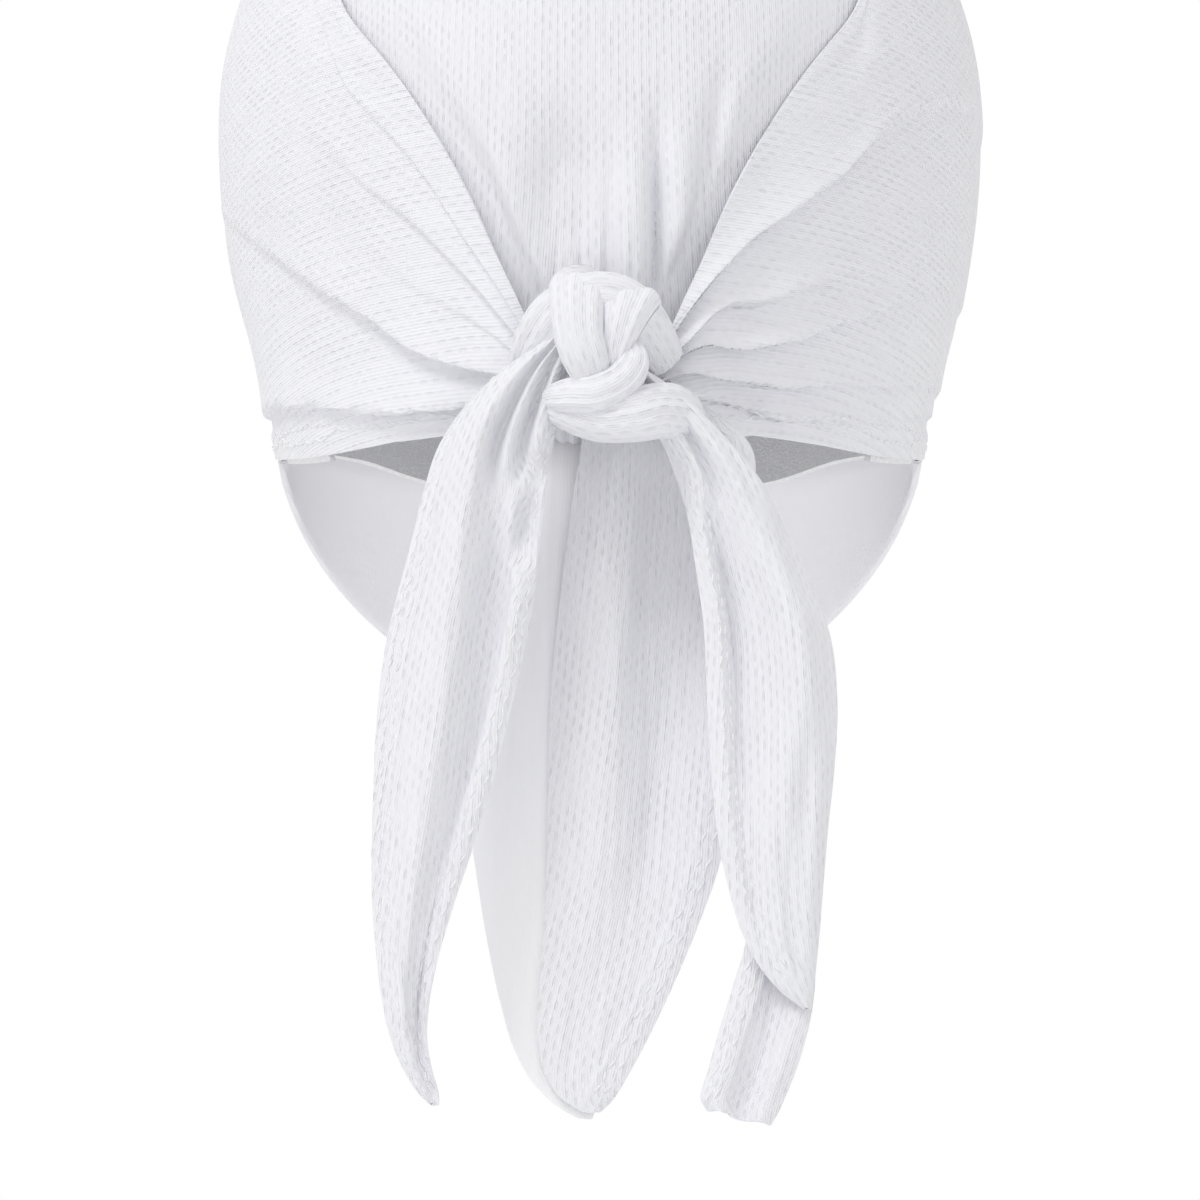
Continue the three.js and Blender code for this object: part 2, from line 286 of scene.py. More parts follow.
def board_plastic():
    """The peak's stiffener, matt and slightly grained."""
    finish = Finish("peak_stiffener")
    grain = finish.noise(700)
    finish.coat(grain * 0.3, (0.8, 0.8, 0.8), (0.7, 0.7, 0.72), Roughness=0.45 + grain * 0.2)
    finish.bump(grain, 0.05 * MM, 0.4)
    return finish.material


def knit_reverse():
    """The smooth reverse of the mesh knit, on the folded side of the crown tail."""
    finish = Finish("knit_reverse")
    rib = finish.uv()[0].waves(REVERSE_RIB_PITCH)
    grain = finish.noise(1800)
    light, dark = (0.95, 0.95, 0.97), (0.86, 0.86, 0.89)
    finish.coat(grain * 0.2, light, dark, Roughness=0.85, Sheen_Weight=0.2, **KNIT_GLOSS)
    finish.bump(rib * 0.3 + grain * 0.7, 0.05 * MM, 0.6)
    return finish.material


# The two mesh knits differ only in how deep the painted shade in their eyelets is: less on the taut wings.
KNIT = mesh_knit("mesh_knit", 0.22)
TAUT_KNIT = mesh_knit("mesh_knit_taut", 0.13)
PLAIN = knit_reverse()
JERSEY = smooth_knit()
TERRY = terry_knit()
THREAD = sewing_thread()
BOARD = board_plastic()


# ---- The head and its edges ----


def mix(a, b, share):
    return a + (b - a) * share


def ease(x, low, high):
    share = np.clip((x - low) / (high - low), 0, 1)
    return share * share * (3 - 2 * share)


def spline(x, stations, values):
    """Values along stations, smooth through each of them."""
    x = np.asarray(x, float)
    stations = np.asarray(stations, float)
    values = np.asarray(values, float)
    slope = np.gradient(values, stations)
    i = np.clip(np.searchsorted(stations, x) - 1, 0, len(stations) - 2)
    span = stations[i + 1] - stations[i]
    t = np.clip((x - stations[i]) / span, 0, 1)
    start, end = values[i], values[i + 1]
    bend = (2 * t**3 - 3 * t**2 + 1) * start + (t**3 - 2 * t**2 + t) * span * slope[i]
    return bend + (-2 * t**3 + 3 * t**2) * end + (t**3 - t**2) * span * slope[i + 1]


def unit(v):
    return v / np.maximum(np.linalg.norm(v, axis=-1, keepdims=True), 1e-12)


def on_head(direction, offset):
    """Points at a distance outside the head, in directions from its centre."""
    direction = np.asarray(direction, float)
    offset = np.broadcast_to(offset, direction.shape[:-1])
    x, y, z = np.moveaxis(direction, -1, 0)
    dome = z >= 0
    power = np.where(dome, HEAD_DOME_POWER, HEAD_TAPER_POWER)
    height = np.where(dome, dome_height, HEAD_TAPER_DEPTH) + offset
    level = np.hypot(x / (half_width + offset), y / (half_length + offset)) ** power
    reach = (level + (np.abs(z) / height) ** power) ** (-1 / power)
    return direction * reach[..., None] + np.array([0, 0, HEAD_WIDEST_Z])


def at_height(azimuth, z):
    """The direction at an azimuth in degrees from the back, and at a height under the widest level."""
    angle = np.radians(azimuth)
    under = ((HEAD_WIDEST_Z - z) / (HEAD_TAPER_DEPTH + HEM_OUT)) ** HEAD_TAPER_POWER
    size = (1 - under) ** (1 / HEAD_TAPER_POWER)
    x, y = np.sin(angle), -np.cos(angle)
    radius = size / np.hypot(x / (half_width + HEM_OUT), y / (half_length + HEM_OUT))
    return unit(np.stack([x * radius, y * radius, z - HEAD_WIDEST_Z + 0 * x], -1))


def hem_height(azimuth):
    forward = -np.cos(np.radians(azimuth))
    reach = np.where(forward < 0, HEM_REAR_DROP, HEM_FRONT_RISE)
    return reach * np.sin(math.pi / 2 * forward)


def hem(azimuth, above=0.0):
    return at_height(azimuth, hem_height(azimuth) + above)


HALVINGS = 36


def solve(rising, target, low, high):
    """Where a rising function reaches its target, for every target at once."""
    target = np.asarray(target, float)
    low = np.full(target.shape, float(low))
    high = np.full(target.shape, float(high))
    for _ in range(HALVINGS):
        middle = (low + high) / 2
        under = rising(middle) < target
        low = np.where(under, middle, low)
        high = np.where(under, high, middle)
    return (low + high) / 2


MOST_TILT = 1.4


def at_x(x, turn):
    """The direction at a distance x from the middle plane, turned from straight back over the top."""
    x, turn = np.broadcast_arrays(x, turn)
    angle = np.radians(turn)

    def tilted(tilt):
        level = np.cos(tilt)
        return np.stack([np.sin(tilt), -level * np.cos(angle), level * np.sin(angle)], -1)

    return tilted(solve(lambda tilt: on_head(tilted(tilt), 0)[..., 0], x, -MOST_TILT, MOST_TILT))


def turn_of(point):
    turn = np.degrees(np.arctan2(point[..., 2] - HEAD_WIDEST_Z, -point[..., 1]))
    return np.where(turn < -90, turn + 360, turn)


def turn_on_hem(azimuth):
    return turn_of(on_head(hem(azimuth), 0))


def front_hem_azimuth(x):
    return solve(lambda a: -on_head(hem(a), 0)[..., 0], -np.abs(x), 90, 180)


def turn_at_rear(z):
    """The turn of the point straight back at a height."""
    return float(turn_of(on_head(at_height(0.0, z), 0)))


knot_turn = turn_at_rear(knot.z + WING_TOP_ABOVE_KNOT)


def wing_edge_x(turn):
    """Half the width of crown that shows between the wings."""
    share = (turn - knot_turn) / (WING_EDGE_TURNS_AT - knot_turn)
    bend = share - WING_EDGE_SOFTNESS * np.logaddexp(0, (share - 1) / WING_EDGE_SOFTNESS)
    return mix(wing_end_x, WING_EDGE_X, np.maximum(bend, 0))


# ---- Meshes ----


def grid_normals(points):
    along = np.gradient(points, axis=0)
    across = np.gradient(points, axis=1)
    return unit(np.cross(along, across))


def lengths(points, axis):
    """Distance run along one axis of a grid, averaged over the other."""
    steps = np.linalg.norm(np.diff(points, axis=axis), axis=-1).mean(axis=1 - axis)
    return np.concatenate([[0], np.cumsum(steps)])


def cloth_uv(points):
    """The cloth's own measure: U across the wales and V along them, in metres."""
    return np.stack(np.meshgrid(lengths(points, 0), lengths(points, 1), indexing="ij"), -1)


# The head's mean radii over the crown and round the wings, for measuring the cloth.
ACROSS_RADIUS = 100 * MM
OVER_RADIUS = 95 * MM
ROUND_RADIUS = 88 * MM


def head_uv(points, upright):
    """The cloth's measure on the head: wales run over it for the crown and round it for a wing."""
    direction = unit(points - np.array([0, 0, HEAD_WIDEST_Z]))
    x, y, z = np.moveaxis(direction, -1, 0)
    if upright:
        across, along = x, np.unwrap(np.arctan2(z, -y), axis=0) * OVER_RADIUS
    else:
        across, along = z, np.arctan2(np.abs(x), -y) * ROUND_RADIUS
    return np.stack([np.arcsin(np.clip(across, -1, 1)) * ACROSS_RADIUS, along], -1)


def strip_uv(points):
    """The cloth's measure on a strip that runs down its rows, counted from its middle line."""
    across = run_down(points, 1)
    middle = across[:, across.shape[1] // 2][:, None]
    along = lengths(points, 0)[:, None] + 0 * across
    return np.stack([across - middle, along], -1)


def quads(rows, columns, start=0, flip=False):
    """The faces of a grid, as point numbers counted from start."""
    i = np.arange(rows - 1)[:, None]
    corner = i * columns + np.arange(columns - 1)[None, :]
    corners = [corner, corner + columns, corner + columns + 1, corner + 1]
    faces = np.stack(corners, -1).reshape(-1, 4) + start
    return faces[:, ::-1] if flip else faces


SMOOTH_ANGLE = 50


def mesh_object(name, points, faces, uv, material):
    mesh = bpy.data.meshes.new(name)
    mesh.from_pydata([tuple(p) for p in points], [], [tuple(f) for f in faces])
    layer = mesh.uv_layers.new(name="cloth")
    corners = np.empty(len(mesh.loops), dtype=int)
    mesh.loops.foreach_get("vertex_index", corners)
    layer.data.foreach_set("uv", np.asarray(uv, np.float32)[corners].ravel())
    mesh.materials.append(material)
    mesh.shade_smooth()
    mesh.set_sharp_from_angle(angle=math.radians(SMOOTH_ANGLE))
    mesh.update()
    return placed(name, mesh)


def shell(outer, thickness, uv, out=1):
    """Points, faces and uv of a closed sheet whose outer face is a grid. out turns its facing round."""
    rows, columns = outer.shape[:2]
    normal = grid_normals(outer) * out
    inner = outer - normal * np.broadcast_to(thickness, (rows, columns))[..., None]
    count = rows * columns
    points = np.concatenate([outer.reshape(-1, 3), inner.reshape(-1, 3)])
    index = np.arange(count).reshape(rows, columns)
    border = np.concatenate([index[:-1, 0], index[-1, :-1], index[:0:-1, -1], index[0, :0:-1]])
    after = np.roll(border, -1)
    rim = np.stack([border, border + count, after + count, after], -1)
    flip = out < 0
    faces = np.concatenate([
        quads(rows, columns, 0, flip),
        quads(rows, columns, count, not flip),
        rim[:, ::-1] if flip else rim,
    ])
    return points, faces, np.concatenate([uv.reshape(-1, 2)] * 2)


def cloth_sheet(name, outer, thickness, uv, material, out=1):
    return mesh_object(name, *shell(outer, thickness, uv, out), material)


def joined(name, parts, material):
    """One mesh from several sets of points, faces and uv."""
    points, faces, uvs, start = [], [], [], 0
    for p, f, uv in parts:
        points.append(p)
        faces.extend([int(corner) + start for corner in face] for face in f)
        uvs.append(uv)
        start += len(p)
    return mesh_object(name, np.concatenate(points), faces, np.concatenate(uvs), material)


def tube(rings):
    """Points, faces and uv of a closed tube through rings of points, capped at both ends."""
    rows, columns = rings.shape[:2]
    points = rings.reshape(-1, 3)
    faces = quads(rows, columns).tolist()
    wrap = np.arange(rows - 1) * columns
    last = wrap + columns - 1
    faces += np.stack([last, last + columns, wrap + columns, wrap], -1).tolist()
    ends = np.array([rings[0].mean(0), rings[-1].mean(0)])
    points = np.concatenate([points, ends])
    first, final = rows * columns, rows * columns + 1
    for j in range(columns):
        k = (j + 1) % columns
        faces.append([first, j, k])
        faces.append([final, (rows - 1) * columns + k, (rows - 1) * columns + j])
    u, v = np.meshgrid(lengths(rings, 0), lengths(rings, 1), indexing="ij")
    uv = np.concatenate([np.stack([v, u], -1).reshape(-1, 2), [[0, 0], [0, 0]]])
    return points, faces, uv


def valley(x, centre, width):
    """A crease: 1 at its bottom, falling off to both sides."""
    return 1 / (1 + ((x - centre) / width) ** 2)


def hill(x, centre, width):
    return np.exp(-(((x - centre) / width) ** 2))


# ---- Crown panel and wings ----

# Creases of the crown above the knot, in millimetres: where each starts and ends as x and height, its depth
# and its width.
CROWN_CREASES = [
    (-38, 56, -42, 72, 2.4, 2.2),
    (-18, 14, -34, 56, 3.8, 2.8),
    (-22, 24, -25, 44, 2.2, 1.6),
    (-4, 12, -6, 34, 1.0, 1.3),
    (2, 12, 2, 40, 1.3, 1.2),
    (12.3, 10, 12.3, 46, 5.2, 1.9),
    (20, 20, 26, 58, 3.4, 2.2),
    (30, 24, 36, 60, 1.8, 2.4),
]
# Broad swells and hollows of the crown: x, height, how far out, and its half width and half height.
CROWN_SWELLS = [
    (-8, 31, -6.0, 8.5, 17),
    (6, 22, 2.2, 3.6, 16),
    (-17, 34, 1.0, 5, 22),
    (18, 34, 1.0, 3.6, 20),
]
# Folds of each wing: the course as how far round and how far up the wing from its hem, then the depth in
# millimetres, the width beside the knot and far from it, and how far round it runs.
LEFT_FOLDS = [
    (((0, 0.30), (0.05, 0.15), (0.1, 0.08), (0.2, 0.05), (0.4, 0.055), (0.7, 0.1), (1, 0.2)),
     5.2, 0.035, 0.019, 0.60),
    (((0, 0.38), (0.05, 0.236), (0.09, 0.178), (0.14, 0.162), (0.22, 0.185), (0.34, 0.216),
      (0.43, 0.273), (0.55, 0.4), (1, 0.7)), 4.4, 0.034, 0.026, 0.36),
    (((0, 0.43), (0.025, 0.46), (0.1, 0.47), (0.14, 0.5), (0.27, 0.48), (1, 0.45)),
     2.0, 0.050, 0.050, 0.22),
    (((0, 0.47), (0.04, 0.61), (0.08, 0.64), (0.11, 0.70), (0.16, 0.75), (0.25, 0.76), (1, 0.75)),
     1.5, 0.045, 0.040, 0.20),
    (((0, 0.40), (0.04, 0.36), (0.1, 0.31), (0.2, 0.33), (0.4, 0.40), (1, 0.5)),
     1.0, 0.040, 0.050, 0.16),
]
RIGHT_FOLDS = [
    (((0, 0.28), (0.03, 0.18), (0.077, 0.10), (0.16, 0.045), (0.3, 0.035), (0.48, 0.045), (1, 0.2)),
     2.8, 0.035, 0.012, 0.56),
    (((0, 0.36), (0.026, 0.30), (0.084, 0.158), (0.147, 0.105), (0.233, 0.085), (0.33, 0.08),
      (0.45, 0.085), (1, 0.25)), 4.4, 0.034, 0.016, 0.48),
    (((0, 0.42), (0.033, 0.38), (0.095, 0.228), (0.164, 0.185), (0.233, 0.178), (0.3, 0.175),
      (0.394, 0.195), (1, 0.45)), 5.0, 0.034, 0.019, 0.42),
    (((0, 0.46), (0.053, 0.434), (0.116, 0.313), (0.179, 0.286), (0.241, 0.258), (1, 0.5)),
     4.4, 0.045, 0.034, 0.27),
    (((0, 0.50), (0.026, 0.60), (0.075, 0.571), (0.12, 0.53), (0.16, 0.53), (0.241, 0.506),
      (0.32, 0.504), (1, 0.6)), 4.0, 0.040, 0.026, 0.38),
]
# The part of a wing's height that its narrow end takes up beside the knot, against how far round it is.
WING_TAPER_ROUND = (0, 0.015, 0.03, 0.05, 0.09, 0.17, 1)
WING_TAPER_TOP = (0.50, 0.62, 0.74, 0.86, 0.95, 1, 1)
WING_TAPER_FOOT = (0.24, 0.17, 0.11, 0.06, 0, 0, 0)
# How far the crown stands up between the wings, in millimetres, and the heights over which that fades out.
CROWN_FULLNESS = 2.4
CROWN_FULL_FADE = (55, 95)
CROWN_START_ABOVE = 1.5 * MM
CROWN_SPREAD = 1.1
CROWN_LEAST_OUT = 1.0 * MM
# Where the crown's relief fades, as turn over the head and as a share of the width between the wings.
CROWN_REAR_FADE = (60, 100)
CROWN_SIDE_FADE = (0.72, 1.0)
# A crease fades in over these heights about its low end, and out over these about its high end.
CREASE_START = (-12, 4)
CREASE_END = (-18, 10)
SHOULDER = 0.22
SHOULDER_AT = 2.2
SHOULDER_WIDTH = 1.6
PLEAT_DEPTH = 0.5
PLEAT_FADE = (10, 30)
WAVINESS = 0.45
WAVINESS_FADE = (30, 70)

# The sides draw in towards the hem and swell above it.
SIDE_PINCH = -2.3 * MM
SIDE_SWELL = 1.0 * MM
SIDE_HEIGHTS = (-8 * MM, 70 * MM)
WING_HEM_INSET = 4 * MM
WING_EDGE_STOPS_SHORT = 4
WING_ROW_CROWDING = 1.25
WING_END_LIFT = 4.5 * MM
WING_LIFT_RUN = 0.11
WING_RIPPLE = 0.3 * MM
FOLD_FADE_POWER = 2.2
# How far the wing's edge settles on to the crown, beside the knot and farther round.
EDGE_SETTLES = (0.4 * MM, 0.9 * MM)

LAP_STEEPNESS = 7
LAP_RUN_OUT = 2.6
LAP_HOLLOW = 0.6
LAP_HOLLOW_WIDTH = 1.5
EXP_LIMIT = 30


def lap(distance):
    """A fold whose upper side laps over its lower one: it climbs slowly, then drops sharply."""
    over = 1 / (1 + np.exp(-np.clip(distance * LAP_STEEPNESS, -EXP_LIMIT, EXP_LIMIT)))
    crest = over * np.exp(-np.maximum(distance, 0) / LAP_RUN_OUT)
    hollow = (1 - over) * np.exp(-np.maximum(-distance, 0) / LAP_HOLLOW_WIDTH)
    return crest - LAP_HOLLOW * hollow


def crease(distance, wide):
    """A furrow with a low shoulder on each side."""
    near, far = SHOULDER_AT * wide, SHOULDER_WIDTH * wide
    shoulders = SHOULDER * hill(distance, near, far) + SHOULDER * hill(distance, -near, far)
    return shoulders - hill(distance, 0, wide)


def crown_rise(x, z):
    """How far the crown's cloth stands out at a place on the rear of the head, all in millimetres."""
    rise = CROWN_FULLNESS * (1 - ease(z, *CROWN_FULL_FADE))
    for x_low, z_low, x_high, z_high, depth, wide in CROWN_CREASES:
        line = mix(x_low, x_high, (z - z_low) / (z_high - z_low))
        start = ease(z, z_low + CREASE_START[0], z_low + CREASE_START[1])
        strength = start * (1 - ease(z, z_high + CREASE_END[0], z_high + CREASE_END[1]))
        rise += crease(x - line, wide) * depth * strength
    for x_at, z_at, out, half_wide, half_tall in CROWN_SWELLS:
        rise += out * hill(x, x_at, half_wide) * hill(z, z_at, half_tall)
    pleats = np.cos(x * 2.3 + np.sin(z * 0.16)) + 0.5 * np.cos(x * 1.1 + 1)
    rise += pleats * PLEAT_DEPTH * (1 - ease(z, *PLEAT_FADE))
    rise += WAVINESS * np.sin(x * 0.12 + 1) * np.sin(z * 0.07) * ease(z, *WAVINESS_FADE)
    return rise


def crown_surface(rows, columns):
    """The crown's outer face: rows run from the knot over the head, columns from side to side."""
    v = np.linspace(0, 1, rows)[:, None]
    u = np.linspace(-1, 1, columns)[None, :]
    start = turn_at_rear(crown_box[0].z + CROWN_START_ABOVE)
    front = float(turn_on_hem(front_hem_azimuth(0.0)))
    width = wing_edge_x(mix(start, front, v)) + SEAM_LAP
    x = width * np.sin(CROWN_SPREAD * u) / math.sin(CROWN_SPREAD)
    turn = mix(start, turn_on_hem(front_hem_azimuth(x)), v)
    direction = at_x(x, turn)
    place = on_head(direction, CROWN_OUT) / MM
    show = np.abs(x) / np.maximum(wing_edge_x(turn), 1e-6)
    inside = (1 - ease(show, *CROWN_SIDE_FADE)) * (1 - ease(turn, *CROWN_REAR_FADE))
    rise = crown_rise(place[..., 0], place[..., 2])
    offset = CROWN_OUT + np.maximum(rise * MM, CROWN_LEAST_OUT - CROWN_OUT) * inside
    return on_head(direction, offset)


def wing_surface(side, folds, rows, columns):
    """The wing's outer face: rows run round the head from the knot, columns from hem to upper edge."""
    hem_start_x = wing_end_x - WING_HEM_INSET
    hem_start = float(solve(lambda a: on_head(hem(a), HEM_OUT)[..., 0], hem_start_x, 0, 60))
    hem_end = float(front_hem_azimuth(WING_EDGE_X))
    edge_end = float(turn_on_hem(hem_end)) - WING_EDGE_STOPS_SHORT
    round_it = np.linspace(0, 1, rows)[:, None] ** WING_ROW_CROWDING
    foot = spline(round_it, WING_TAPER_ROUND, WING_TAPER_FOOT)
    top = spline(round_it, WING_TAPER_ROUND, WING_TAPER_TOP)
    w = mix(foot, top, np.linspace(0, 1, columns)[None, :])
    low = hem(mix(hem_start, hem_end, round_it))
    turn = mix(knot_turn, edge_end, round_it)
    high = at_x(wing_edge_x(turn) - 2 * MM * (1 - ease(round_it, 0, 0.05)), turn)
    angle = np.arccos(np.clip((low * high).sum(-1), -1, 1))
    a, b = np.sin((1 - w) * angle) / np.sin(angle), np.sin(w * angle) / np.sin(angle)
    direction = unit(a[..., None] * low + b[..., None] * high)
    offset = WING_OUT + WING_END_LIFT * (1 - ease(round_it, 0, WING_LIFT_RUN)) + 0 * w
    for course, depth, wide_beside, wide_far, run in folds:
        place = spline(round_it, *zip(*course))
        wide = mix(wide_beside, wide_far, ease(round_it, 0.02, 0.25))
        fade = np.exp(-((round_it / run) ** FOLD_FADE_POWER)) * mix(0.5, 1, ease(round_it, 0, 0.05))
        offset = offset + lap((w - place) / wide) * depth * MM * fade
    ripple = np.sin(w * 21 + round_it * 9 * side) * np.sin(w * 7 + round_it * 23 + side)
    offset = offset + WING_RIPPLE * ripple * ease(round_it, 0.05, 0.2)
    beside = ease(round_it, 0.12, 0.3) * (1 - ease(round_it, 0.62, 0.8))
    low_down = 1 - ease(on_head(direction, WING_OUT)[..., 2], *SIDE_HEIGHTS)
    on_sweatband = SWEATBAND_OUT + CLOTH + 0.2 * MM
    least = mix(on_sweatband, WING_OUT - 0.2 * MM, ease(w, 0.68, 0.84))
    offset = np.maximum(offset + beside * mix(SIDE_SWELL, SIDE_PINCH, low_down), least)
    offset = offset - mix(*EDGE_SETTLES, ease(round_it, 0.15, 0.3)) * ease(w, 0.94, 1.0)
    return on_head(direction, offset) * np.array([side, 1, 1])


HEM_STEP = 1.2 * MM
LIFT_STEP = 1.4 * MM
PINCH = 0.25 * MM
PINCH_INSET = 1.2 * MM
PINCH_WIDTH = 0.8 * MM


def hem_thickness(distance):
    """Cloth thickness beside a turned hem, which is two layers thick and ends in a soft step."""
    return CLOTH + HEM_EXTRA * (1 - ease(distance, HEM_WIDTH, HEM_WIDTH + HEM_STEP))


def raised_hem(outer, distance, out, width=HEM_WIDTH, strength=1.0):
    """Lifts a surface over its turned hem, and pinches it in where the stitches hold it."""
    lift = HEM_EXTRA * (1 - ease(distance, width, width + LIFT_STEP))
    pinch = PINCH * valley(distance, width - PINCH_INSET, PINCH_WIDTH)
    return outer + grid_normals(outer) * out * ((lift - pinch) * strength)[..., None]


def run_down(points, axis):
    """Distance of each grid point from the start of an axis, along the surface."""
    steps = np.linalg.norm(np.diff(points, axis=axis), axis=-1)
    return np.concatenate([np.zeros_like(np.take(steps, [0], axis)), np.cumsum(steps, axis)], axis)


# The lines of stitching by body.
stitch_paths = {"cap": [], "left_tie": [], "right_tie": [], "crown_tail": []}


def keep(made, body, node):
    """Puts a piece that doesn't bend on its body, in place of a plain node."""
    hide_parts(node)
    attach(made, body)


def crown_panel():
    outer = crown_surface(240, 120)
    made = cloth_sheet("crown_panel_cloth", outer, CLOTH, head_uv(outer, True), KNIT, -1)
    keep(made, "cap", "crown_panel")


WING_EDGE_HEM = 7 * MM
WING_EDGE_HEM_STRENGTH = 0.25
WING_STITCH_INSETS = (1.5 * MM, 4.5 * MM)


def wing(name, side, folds):
    outer = wing_surface(side, folds, 230, 130)
    from_hem = run_down(outer, 1)
    from_edge = from_hem[:, -1:] - from_hem
    outer = raised_hem(outer, from_hem, side)
    away = ease(np.linspace(0, 1, outer.shape[0])[:, None], 0.12, 0.3)
    outer = raised_hem(outer, from_edge, side, WING_EDGE_HEM, WING_EDGE_HEM_STRENGTH * away)
    uv = head_uv(outer, False)
    made = cloth_sheet(name + "_cloth", outer, hem_thickness(from_hem), uv, TAUT_KNIT, side)
    normals = grid_normals(outer) * side
    rows = np.arange(4, outer.shape[0] - 6)
    for inset in WING_STITCH_INSETS:
        column = np.abs(from_hem[rows] - (HEM_WIDTH - inset)).argmin(1)
        stitch_paths["cap"].append((outer[rows, column], normals[rows, column]))
    keep(made, "cap", name)


# ---- Peak and sweatband ----


peak_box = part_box("peak_board")
PEAK_ROOT_AZIMUTH = 102
PEAK_SIDE_RISE = 1.2
PEAK_ARCH = 4 * MM
PEAK_PILLOW_POWER = 18
PEAK_ROOT_DROP = -0.8 * MM
PEAK_ROOT_GAP = 0.1 * MM
PEAK_SIDE_REACH = 1.0 * MM
PEAK_TIP_ABOVE = 1.1 * MM
PEAK_LAYER = 1.9 * MM
BOARD_THICKNESS = 1.8 * MM
BINDING_HALF_WIDTH = 0.8 * MM
BINDING_HALF_HEIGHT = 0.9 * MM
BINDING_SIDES = 16
# How far round from straight ahead, in degrees, the front gives way to the sides.
FRONT_FADE = (30, 48)
SWEATBAND_AZIMUTHS = (60.0, 300.0)
SWEATBAND_BELOW = -2 * MM
SWEATBAND_FRONT_BELOW = 2.6 * MM
SWEATBAND_ABOVE = 28 * MM
SWEATBAND_GAP = 0.1 * MM


def frontness(azimuth):
    """1 at the front of the head, and 0 at its sides."""
    return 1 - ease(np.abs(azimuth - 180), *FRONT_FADE)


def peak_surface(rows, columns, rise):
    """A face of the peak: rows run round it from side to side, columns from the hem to its outer edge."""
    across = np.linspace(0, 1, rows)[:, None]
    out = np.linspace(0, 1, columns)[None, :]
    beside = WING_OUT + SIDE_PINCH
    root = on_head(hem(float(PEAK_ROOT_AZIMUTH)), beside)
    azimuth = mix(360.0 - PEAK_ROOT_AZIMUTH, PEAK_ROOT_AZIMUTH, across)
    front = frontness(azimuth)
    inner_out = mix(beside, CROWN_OUT + PEAK_ROOT_GAP, front)
    inner = on_head(hem(azimuth, PEAK_ROOT_DROP * front), inner_out)
    turned = np.arccos(np.clip(on_head(hem(azimuth), beside)[..., 0] / root[0], -1, 1))
    outer = np.stack([
        (root[0] + PEAK_SIDE_REACH) * np.cos(turned),
        root[1] + (peak_box[1].y - root[1]) * np.sin(turned),
        mix(root[2], peak_box[0].z + PEAK_TIP_ABOVE, np.sin(turned) ** PEAK_SIDE_RISE),
    ], -1)
    point = mix(inner, outer, out[..., None])
    arch = PEAK_ARCH * 4 * out * (1 - out) * np.sin(turned)
    point[..., 2] += arch + rise * (1 - (2 * np.abs(out - 0.5)) ** PEAK_PILLOW_POWER)
    return point


def peak():
    for piece, node, rise, out in (
        ("peak_top_cloth", "peak_top_cover", PEAK_LAYER, -1),
        ("peak_under_cloth", "peak_under_cover", -PEAK_LAYER, 1),
    ):
        face = peak_surface(160, 40, rise)
        made = cloth_sheet(piece, face, CLOTH, cloth_uv(face), JERSEY, out)
        keep(made, "cap", node)
    binding = joined("peak_binding_cloth", [tube(piping(peak_surface(200, 3, 0)[5:-5, 2]))], JERSEY)
    keep(binding, "cap", "peak_edge_binding")
    stiff = peak_surface(160, 40, BOARD_THICKNESS / 2)[5:-5, 2:-2]
    board = cloth_sheet("peak_board_plate", stiff, BOARD_THICKNESS, cloth_uv(stiff), BOARD, -1)
    keep(board, "cap", "peak_board")


def piping(line):
    """Rings of the binding's flattened cord along a line, standing upright."""
    along = unit(np.gradient(line, axis=0))
    side = unit(np.cross(along, [0.0, 0.0, 1.0]))
    up = np.cross(side, along)
    angle = np.linspace(0, 2 * math.pi, BINDING_SIDES, endpoint=False)[None, :, None]
    beside = side[:, None] * np.cos(angle) * BINDING_HALF_WIDTH
    return line[:, None] + beside + up[:, None] * np.sin(angle) * BINDING_HALF_HEIGHT


def sweatband():
    azimuth = np.linspace(*SWEATBAND_AZIMUTHS, 220)[:, None]
    low = SWEATBAND_BELOW - SWEATBAND_FRONT_BELOW * frontness(azimuth)
    above = mix(low, SWEATBAND_ABOVE, np.linspace(0, 1, 24)[None, :])
    outer = on_head(hem(azimuth + 0 * above, above), SWEATBAND_OUT)
    thickness = SWEATBAND_OUT - SWEATBAND_GAP
    made = cloth_sheet("sweatband_terry", outer, thickness, cloth_uv(outer), TERRY, 1)
    keep(made, "cap", "sweatband")


# ---- Tails ----

